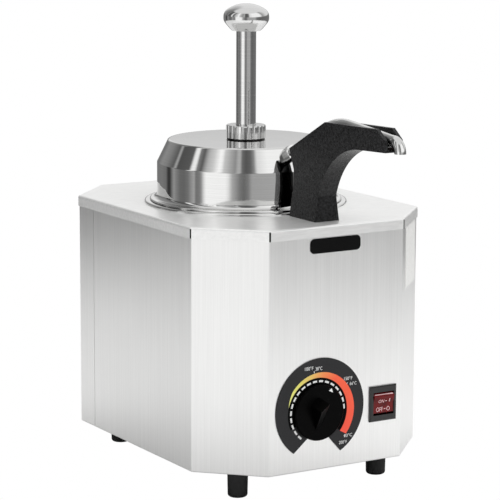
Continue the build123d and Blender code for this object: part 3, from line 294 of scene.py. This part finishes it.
# Moulded rubber: near black and dull, with a fine bloom. The grit of moulded pieces is finer
# than this camera can show, so it is drawn 1 to 5 mm across.
rubber = moulded("rubber", "#0d0d0d", "#1b1b1b", 1.429, (0.55, 0.75), 0.00004)
dress(rubber, "foot_front_left", "foot_front_right", "foot_rear_left", "foot_rear_right")

# ---- Deck ----
# The octagonal top: one brushed stainless sheet, with its grain from side to side and a lip
# folded down on each of its eight sides. It lies on the walls.
# Worn brushed stainless: paler and more matt than the walls.
deck_steel = brushed("deck_steel", "#e9e9e8", "#f4f4f3", (16.67, 2.5, 2.5), (0.29, 0.36),
                     0.000002, metallic=0.52)
dress(deck_steel, "deck_panel")


# ---- Corner gaps and folds: painted shade and painted highlights ----
# The lips aren't joined, so an open slot stands at each corner of the deck; a black strip inside
# each one is painted shade. The two folds between the flanks and the front chamfers carry a
# painted highlight.
def add_piece(name, bm, material, body):
    """Turn a mesh under construction into a piece that rides on a body."""
    bmesh.ops.recalc_face_normals(bm, faces=bm.faces)
    mesh = bpy.data.meshes.new(name)
    bm.to_mesh(mesh)
    bm.free()
    mesh.materials.append(material)
    piece = bpy.data.objects.new(name, mesh)
    scene.collection.objects.link(piece)
    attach(piece, body)


def add_upright(bm, corner, out, near, far, width, low, high):
    """An upright strip behind a corner, from near to far inside it against a direction."""
    middle = Vector((corner[0], corner[1], (low + high) / 2)) - out * ((near + far) / 2)
    bmesh.ops.create_cube(bm, size=1.0, matrix=Matrix.LocRotScale(
        middle, Euler((0.0, 0.0, atan2(out.y, out.x))), Vector((far - near, width, high - low))))


def ink(name, dark, light, gloss=0.4, shine=0.5):
    """Paint or printed ink with a slightly uneven tone."""
    return surface(name, dark, light, (1.429, 1.429, 1.429), gloss, detail=2.0, shine=shine)


# Painted shade for the slots' inside: black and dull, where no light reaches.
gap_painted_shade = ink("gap_painted_shade", "#030303", "#030303", 0.8, 0.0)
# Painted highlight along the folds: white stainless, with the walls' grain almost gone.
fold_highlight_steel = brushed("fold_highlight_steel", "#fafafa", "#ffffff", upright_grain, (0.25, 0.30),
                     0.000001, metallic=0.6)
deck_low, deck_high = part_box("deck_panel")
deck_y = (deck_low.y + deck_high.y) / 2
half_x, half_y = (deck_high.x - deck_low.x) / 2, (deck_high.y - deck_low.y) / 2
corner_leg = 0.048
lean_in, lean_out = radians(22.5), radians(67.5)
gap_near, gap_far, gap_width = 0.0004, 0.0013, 0.00146
gap_foot, gap_head = deck_low.z + 0.0001, deck_high.z - 0.0013
fold_near, fold_far, fold_width = 0.00138, 0.0016, 0.001
fold_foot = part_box("front_wrap")[0].z + 0.002

bm = bmesh.new()
for sign_x in (-1, 1):
    for sign_y in (-1, 1):
        for x, y, lean in ((half_x, half_y - corner_leg, lean_in),
                           (half_x - corner_leg, half_y, lean_out)):
            add_upright(bm, (sign_x * x, deck_y + sign_y * y),
                        Vector((sign_x * cos(lean), sign_y * sin(lean), 0.0)),
                        gap_near, gap_far, gap_width, gap_foot, gap_head)
add_piece("corner_gap_shade", bm, gap_painted_shade, "housing")

bm = bmesh.new()
for sign_x in (-1, 1):
    add_upright(bm, (sign_x * half_x, deck_y - half_y + corner_leg),
                Vector((sign_x * cos(lean_in), -sin(lean_in), 0.0)),
                fold_near, fold_far, fold_width, fold_foot, deck_low.z)
add_piece("fold_highlights", bm, fold_highlight_steel, "housing")

# ---- Well, jar, lid and pump cylinder ----
# The water well, the food jar that hangs in it, the lid and the pump's cylinder: stainless,
# deep drawn or spun about the well's axis, then polished.
jar_low, jar_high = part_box("jar")
well_y = (jar_low.y + jar_high.y) / 2


def spun(name, dark, light, gloss, ring_rise, wave_rise):
    """Steel turned about the well's axis, with rings 0.7 mm apart and waves 30 to 45 mm long."""
    material, tree, shader = start_material(name)
    place = add_node(tree, "ShaderNodeTexCoord", output="Object")
    centred = add_node(tree, "ShaderNodeMapping",
                       {"Vector": place, "Location": (0.0, -well_y, 0.0)})
    split = add_node(tree, "ShaderNodeSeparateXYZ", {0: centred}).node.outputs
    flat = add_node(tree, "ShaderNodeCombineXYZ", {"X": split["X"], "Y": split["Y"]})
    reach = add_node(tree, "ShaderNodeVectorMath", {0: flat}, output="Value", operation="LENGTH")
    line = add_node(tree, "ShaderNodeCombineXYZ", {"X": reach, "Y": split["Z"]})
    rings = add_node(tree, "ShaderNodeTexNoise", {"Vector": line, "Scale": 1000 / 0.7143,
                                                  "Detail": 3.0, "Roughness": 0.7})
    slow = add_node(tree, "ShaderNodeMapping", {
        "Vector": place, "Scale": [1000 / size for size in (45.45, 45.45, 33.33)]})
    waves = add_node(tree, "ShaderNodeTexNoise", {"Vector": slow, "Scale": 1.0, "Detail": 3.0,
                                                  "Roughness": 0.6})
    share = add_node(tree, "ShaderNodeMapRange",
                     {"Value": rings, "From Min": 0.3, "From Max": 0.7})
    tone = add_node(tree, "ShaderNodeMix", {0: share, 6: linear(dark), 7: linear(light)},
                    output=2, data_type="RGBA")
    tree.links.new(tone, shader["Base Color"])
    shader["Metallic"].default_value = 1.0
    rough = add_node(tree, "ShaderNodeMapRange", {
        "Value": waves, "From Min": 0.3, "From Max": 0.7, "To Min": gloss[0],
        "To Max": gloss[1]})
    tree.links.new(rough, shader["Roughness"])
    ring_height = add_node(tree, "ShaderNodeMath", {0: rings, 1: ring_rise},
                           operation="MULTIPLY")
    height = add_node(tree, "ShaderNodeMath", {0: waves, 1: wave_rise, 2: ring_height},
                      operation="MULTIPLY_ADD")
    raised = add_node(tree, "ShaderNodeBump", {"Height": height, "Distance": 1.0,
                                               "Strength": 1.0})
    tree.links.new(raised, shader["Normal"])
    return material


# Spun and polished stainless: a mirror whose bands waver a little. The tool's rings are too
# fine to show, so they are drawn 0.7 mm apart.
spun_steel = spun("spun_steel", "#d6d6d5", "#e0e0df", (0.03, 0.07), 0.0000012, 0.00004)
dress(spun_steel, "well_vessel", "jar", "lid", "pump_cylinder")

# ---- Well heater and jacket ----
# A band heater with a steel sheath, whose end lugs a screw draws together round the well,
# and a glass-wool sleeve round it.
# Heated steel: straw brown and half matt. Glass wool: pale yellow tufts 5.5 mm across.
heater_steel = worn_metal("heater_steel", "#7d7366", "#a59f95", 16.67, (0.35, 0.50))
glass_wool = moulded("glass_wool", "#b7ac80", "#e3dcbc", 5.556, (0.9, 1.0), 0.0006)
dress(heater_steel, "well_heater")
dress(glass_wool, "insulation_jacket")

# ---- Thermostat, cutout and terminals ----
# The capillary thermostat with its bulb, the thermal cutout, the terminal block and its
# screws, the ground stud, the switch's tabs, and the cord's gland with its nut.
# Copper and brass: warm and softly shiny. Phenolic: half matt black. Acetal: waxy white.
copper = worn_metal("copper", "#8d4a2e", "#c47a54", 8.333, (0.25, 0.40))
brass = worn_metal("brass", "#a88440", "#d3b069", 5.0, (0.22, 0.38))
phenolic = moulded("phenolic", "#121212", "#1f1f1f", 2.0, (0.35, 0.5), 0.00001)
acetal = moulded("acetal", "#dcdad2", "#eeece6", 5.0, (0.30, 0.42), 0.000005)
dress(copper, "sensing_bulb", "capillary_tube")
dress(brass, "terminal_screws", "ground_stud", "switch_terminals", "thermostat_shaft")
dress(phenolic, "thermal_cutout", "cord_gland", "gland_nut", "thermostat_body")
dress(acetal, "terminal_block")

# ---- Pump ----
# The mushroom knob on its rod, the knurled nut and its washer round the lid's neck, and what
# works below them: guide sleeve, spring, piston, seal and two ball valves.
# Turned stainless: bright, with rings from the tool. The washer is painted almost black: painted
# shade along the nut's base.
turned_steel = spun("turned_steel", "#cfcfcf", "#e6e6e5", (0.06, 0.14), 0.000003, 0.00001)
# Painted shade: the washer's near black tone stands for the dark line where the nut meets the
# lid.
washer_shade_steel = worn_metal("washer_shade_steel", "#1f1f1f", "#2f2f2f", 5.0, (0.30, 0.40))
dress(turned_steel, "plunger_rod", "plunger_knob", "lock_nut", "inlet_valve_seat")
dress(washer_shade_steel, "neck_washer")
dress(acetal, "guide_sleeve", "spring_seat", "piston")
dress(rubber, "piston_seal")
dress(screw_steel, "piston_bolt", "return_spring", "inlet_ball", "outlet_ball")

# ---- Discharge tube ----
# The block brazed to the cylinder, the riser, the turned union in the lid's cone and the
# bent tube that runs out over the arm, with a folded trough under it: all stainless.
# Drawn stainless: bright, with long faint marks.
tube_steel = worn_metal("tube_steel", "#d2d2d1", "#e6e6e5", 11.11, (0.06, 0.14), 0.000003)
dress(tube_steel, "discharge_tube", "riser_tube", "outlet_elbow", "spout_trough")
dress(tube_steel, "outlet_collar", edge=0.0003)

# ---- Spout arm ----
# The arm that the tube lies in: one moulded piece, open on top and screwed to the deck.
# A silicone heating mat lies in it, under the trough.
# Textured plastic: black, with a grit of 2 mm blotches that sparkles. Silicone: dark brown.
shroud_black = moulded("shroud_black", "#000000", "#303031", 1.923, (0.20, 0.28), 0.0004, 0.19)
silicone = moulded("silicone", "#1c0b07", "#2b110b", 2.0, (0.5, 0.7), 0.00003)
dress(shroud_black, "spout_shroud", edge=0.0006)
dress(silicone, "spout_heater")

# ---- Dial plate ----
# A horseshoe of painted sheet on the front wall, open at the bottom. White dashes, a coloured
# heat band and three pairs of temperatures are screen printed on it, round the knob's axis.
# Satin black paint: dark grey where it faces the light.
dial_print = moulded("dial_print", "#1b1b1d", "#222224", 1.111, (0.35, 0.45), 0.000004, 0.3)
dress(dial_print, "dial_plate", edge=0.00015)
# Printed ink: flat white, and a black that reflects almost nothing.
white_ink = ink("white_ink", "#e7e8e7", "#f2f3f2")
black_ink = ink("black_ink", "#040404", "#040404", 0.5, 0.04)
knob_low, knob_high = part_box("control_knob")
dial_x = (knob_low.x + knob_high.x) / 2
dial_z = (knob_low.z + knob_high.z) / 2
plate_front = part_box("dial_plate")[0].y
ink_back = plate_front + 0.00005
ink_front = plate_front - 0.00007
ground_front = plate_front - 0.00003


def dial_place(radius, angle, front, shift_x=0.0, shift_z=0.0):
    """A place by its radius and its angle in degrees, from the right and anticlockwise."""
    return Vector((dial_x + shift_x + radius * cos(radians(angle)), front,
                   dial_z + shift_z + radius * sin(radians(angle))))


def add_arc(bm, inner, outer, start, end, steps, front):
    """A flat strip between two radii, swept about the knob's axis."""
    ends = [bm.verts.new(dial_place(radius, start, front)) for radius in (inner, outer)]
    bmesh.ops.spin(bm, geom=ends + [bm.edges.new(ends)], cent=(dial_x, front, dial_z),
                   axis=(0.0, -1.0, 0.0), angle=radians(end - start), steps=steps)


def copy_faces(bm):
    """Close flat faces into a solid by a copy of them, and give the copy's corners."""
    grown = bmesh.ops.extrude_face_region(bm, geom=bm.faces[:])["geom"]
    return [part for part in grown if isinstance(part, bmesh.types.BMVert)]


dash_inner, dash_outer = 0.0257, 0.0274
dash_count, first_dash, last_dash, half_dash = 18, 228.3, 3.9, 4.4
bm = bmesh.new()
for dash in range(dash_count):
    middle = first_dash + (last_dash - first_dash) * dash / (dash_count - 1)
    add_arc(bm, dash_inner, dash_outer, middle + half_dash, middle - half_dash, 4, ink_front)
bmesh.ops.translate(bm, verts=copy_faces(bm), vec=(0.0, ink_back - ink_front, 0.0))
add_piece("dial_dashes", bm, white_ink, "housing")

ground_inner, ground_outer, ground_start, ground_end = 0.0235, 0.0295, 205.0, -40.0
bm = bmesh.new()
add_arc(bm, ground_inner, ground_outer, ground_start, ground_end, 80, ground_front)
bmesh.ops.translate(bm, verts=copy_faces(bm), vec=(0.0, ink_back - ground_front, 0.0))
add_piece("dial_ground", bm, black_ink, "housing")

# The band's outer edge has its own centre, to the right, so the band widens as it goes round,
# and its first ninth grows from a point.
band_inner, band_outer, band_shift_x, band_shift_z = 0.0296, 0.0343, 0.0025, -0.0003
band_start, band_end, taper = 167.0, -40.0, 1 / 9
bm = bmesh.new()
along = bm.loops.layers.uv.new("along")
add_arc(bm, band_inner, band_outer, band_start, band_end, 90, ink_front)
bmesh.ops.translate(bm, verts=copy_faces(bm), vec=(0.0, ink_back - ink_front, 0.0))
angles = {vert: degrees(atan2(vert.co.z - dial_z, vert.co.x - dial_x)) for vert in bm.verts}
shares = {vert: (band_start - angle) / (band_start - band_end) for vert, angle in angles.items()}
outer_edge = {vert for vert in bm.verts
              if (vert.co - Vector((dial_x, vert.co.y, dial_z))).length
              > (band_inner + band_outer) / 2}
for face in bm.faces:
    for loop in face.loops:
        loop[along].uv = (shares[loop.vert], 1.0 if loop.vert in outer_edge else 0.0)
for vert in outer_edge:
    inner = dial_place(band_inner, angles[vert], vert.co.y)
    outer = dial_place(band_outer, angles[vert], vert.co.y, band_shift_x, band_shift_z)
    vert.co = inner.lerp(outer, max(0.0, min(1.0, shares[vert] / taper)))
bmesh.ops.remove_doubles(bm, verts=bm.verts, dist=1e-7)
heat_ink, heat_tree, heat_shader = start_material("heat_band")
heat_along = add_node(heat_tree, "ShaderNodeUVMap", uv_map="along")
heat_share = add_node(heat_tree, "ShaderNodeSeparateXYZ", {0: heat_along}, output="X")
heat_tone = add_node(heat_tree, "ShaderNodeValToRGB", {0: heat_share})
set_stops(heat_tone.node.color_ramp, [(position, linear(tone)) for position, tone in (
    (0.0, "#eef08e"), (0.18, "#e6e070"), (0.30, "#e8c566"), (0.40, "#f2924f"),
    (0.52, "#fb6038"), (1.0, "#fd5238"))])
heat_tree.links.new(heat_tone, heat_shader["Base Color"])
heat_shader["Roughness"].default_value = 0.4
add_piece("heat_band", bm, heat_ink, "housing")


def add_letters(bm, text, left, right, low, high, to_place):
    """Add raised letters that fill a width and a height; to_place maps across, up and out."""
    curve = bpy.data.curves.new(text, "FONT")
    curve.body = text
    curve.extrude = 0.5
    flat = bpy.data.objects.new(text, curve)
    scene.collection.objects.link(flat)
    shaped = flat.evaluated_get(bpy.context.evaluated_depsgraph_get())
    known = set(bm.verts)
    bm.from_mesh(shaped.to_mesh())
    shaped.to_mesh_clear()
    fresh = [vert for vert in bm.verts if vert not in known]
    first_x, last_x = min(v.co.x for v in fresh), max(v.co.x for v in fresh)
    first_y, last_y = min(v.co.y for v in fresh), max(v.co.y for v in fresh)
    for vert in fresh:
        across = left + (right - left) * (vert.co.x - first_x) / (last_x - first_x)
        up = low + (high - low) * (vert.co.y - first_y) / (last_y - first_y)
        vert.co = to_place(across, up, letter_rise if vert.co.z > 0 else 0.0)
    bpy.data.objects.remove(flat)
    bpy.data.curves.remove(curve)


def on_plate(across, up, out):
    """A place on the dial plate, from the middle of its print."""
    return (dial_x + across, ink_back - 0.00002 - out, dial_z + 0.0019 + up)


letter_rise = 0.00006
tick_length, tick_width = 0.0018, 0.000504
bm = bmesh.new()
for text, left, right, low, high in (("100°F", -0.0130, -0.0046, 0.0350, 0.0382),
                                     ("38°C", -0.0024, 0.0043, 0.0340, 0.0372),
                                     ("150°F", 0.0265, 0.0348, 0.0223, 0.0252),
                                     ("66°C", 0.0323, 0.0391, 0.0174, 0.0203),
                                     ("93°C", 0.0270, 0.0352, -0.0274, -0.0245),
                                     ("200°F", 0.0220, 0.0299, -0.0328, -0.0299)):
    add_letters(bm, text, left, right, low, high, on_plate)
for across, up, angle in ((-0.0037, 0.0349, 96.0), (0.0294, 0.0214, 36.0),
                          (0.0275, -0.0247, -42.0)):
    bmesh.ops.create_cube(bm, size=1.0, matrix=Matrix.LocRotScale(
        Vector((dial_x + across, (ink_back + ink_front) / 2, dial_z + up)),
        Euler((0.0, -radians(angle), 0.0)),
        Vector((tick_length, ink_back - ink_front, tick_width))))
add_piece("dial_numbers", bm, white_ink, "housing")

# ---- Knob and pointer ----
# The thermostat's knob: a moulded disc with a wedge grip, pushed on the shaft. A small white
# triangle is printed near its rim and turns with it.
# Moulded plastic: deep black, with only a dull shine along the grip.
knob_black = moulded("knob_black", "#010101", "#040404", 1.111, (0.28, 0.40), 0.00001, 0.04)
dress(knob_black, "control_knob", edge=0.0005)
knob_face = plate_front - 0.0040
pointer_front, pointer_back = knob_face - 0.00006, knob_face + 0.00005
bm = bmesh.new()
bm.faces.new([bm.verts.new(dial_place(radius, angle, pointer_front))
              for radius, angle in ((0.0232, 60.5), (0.0201, 65.0), (0.0206, 52.0))])
bmesh.ops.translate(bm, verts=copy_faces(bm), vec=(0.0, pointer_back - pointer_front, 0.0))
add_piece("knob_pointer", bm, white_ink, "dial")

# ---- Switch ----
# A snap-in switch: a moulded body with a chamfered bezel, and a red rocker that tips in it.
# ON and OFF are printed on the rocker's face, and a painted highlight, a pale pink strip, lies
# along its rounded top.
# Glossy plastic: a black frame with sharp highlights, and a deep red.
gloss_black = moulded("gloss_black", "#050505", "#090909", 3.333, (0.08, 0.16), 0.000002)
rocker_red = surface("rocker_red", "#520206", "#740509", (4.167, 4.167, 4.167), 0.12,
                     rise=0.00001, detail=2.0, shine=0.25)
# Pale pink: the ink of the rocker's marks, and the painted highlight along its top.
pink_ink_and_highlight = ink("pink_ink_and_highlight", "#e7c0c2", "#f2c9cb", 0.3)
dress(gloss_black, "switch_body", edge=0.0003)
dress(rocker_red, "rocker", edge=0.0003)
rocker_low, rocker_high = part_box("rocker")
rocker_x = (rocker_low.x + rocker_high.x) / 2
rocker_z = (rocker_low.z + rocker_high.z) / 2
rocker_slope = tan(radians(18.0))
rocker_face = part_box("switch_body")[0].y + 0.0006


def on_rocker(across, up, out):
    """A place on the rocker's face, from its middle; the face slopes above it."""
    slope = max(up, 0.0) * rocker_slope
    return (rocker_x + across, rocker_face - slope + 0.00004 - out, rocker_z + up)


bm = bmesh.new()
for text, left, right, low, high in (("ON", -0.0053, 0.0004, 0.0006, 0.0036),
                                     ("OFF", -0.0072, -0.0005, -0.0070, -0.0032),
                                     ("O", 0.0034, 0.0067, -0.0070, -0.0032)):
    add_letters(bm, text, left, right, low, high, on_rocker)
for left, right, low, high in ((0.0015, 0.0033, 0.0017, 0.0023), (0.0056, 0.0064, 0.0008, 0.0038),
                               (0.0006, 0.0023, -0.0053, -0.0047)):
    for vert in bmesh.ops.create_cube(bm, size=1.0)["verts"]:
        vert.co = on_rocker(left if vert.co.x < 0 else right, low if vert.co.y < 0 else high,
                            letter_rise if vert.co.z > 0 else 0.0)
add_piece("rocker_marks", bm, pink_ink_and_highlight, "rocker")

# The painted highlight follows the rocker's rounded end, which turns about the pivot. Its five
# stations are a place across, and the angles in degrees where it starts and ends.
round_radius = (rocker_high.z - rocker_low.z) / 2
pivot_y = rocker_high.y - 0.55 * round_radius
highlight_sunk, highlight_proud = round_radius - 0.0001, round_radius + 0.00012
highlight_stations = ((-0.0090, 54.0, 56.0), (-0.0084, 52.5, 57.5), (0.0, 52.5, 57.0),
                (0.0080, 50.5, 58.0), (0.0094, 49.0, 58.5))
bm = bmesh.new()
for vert in bmesh.ops.create_grid(bm, x_segments=4, y_segments=2, size=1.0)["verts"]:
    across, first, last = highlight_stations[round((vert.co.x + 1) * 2)]
    angle = radians(first + (last - first) * (vert.co.y + 1) / 2)
    vert.co = (rocker_x + across, pivot_y - highlight_sunk * cos(angle),
               rocker_z + highlight_sunk * sin(angle))
growth = highlight_proud / highlight_sunk
bmesh.ops.scale(bm, verts=copy_faces(bm), vec=(1.0, growth, growth),
                space=Matrix.Translation((0.0, -pivot_y, -rocker_z)))
add_piece("rocker_highlight", bm, pink_ink_and_highlight, "rocker")

# ---- Caution plate and rating label ----
# A black plate under the deck's lip and a white label on the right chamfer. Both are thin
# sheet stuck to the wall, and both are bare.
# Satin black film, and coated white paper with a slight shine.
plate_black = moulded("plate_black", "#060606", "#0b0b0b", 2.0, (0.25, 0.35), 0.000004, 0.1)
label_white = moulded("label_white", "#e9e9e6", "#f4f4f2", 2.5, (0.35, 0.50), 0.000003)
dress(plate_black, "caution_plate", edge=0.00015)
dress(label_white, "rating_label")
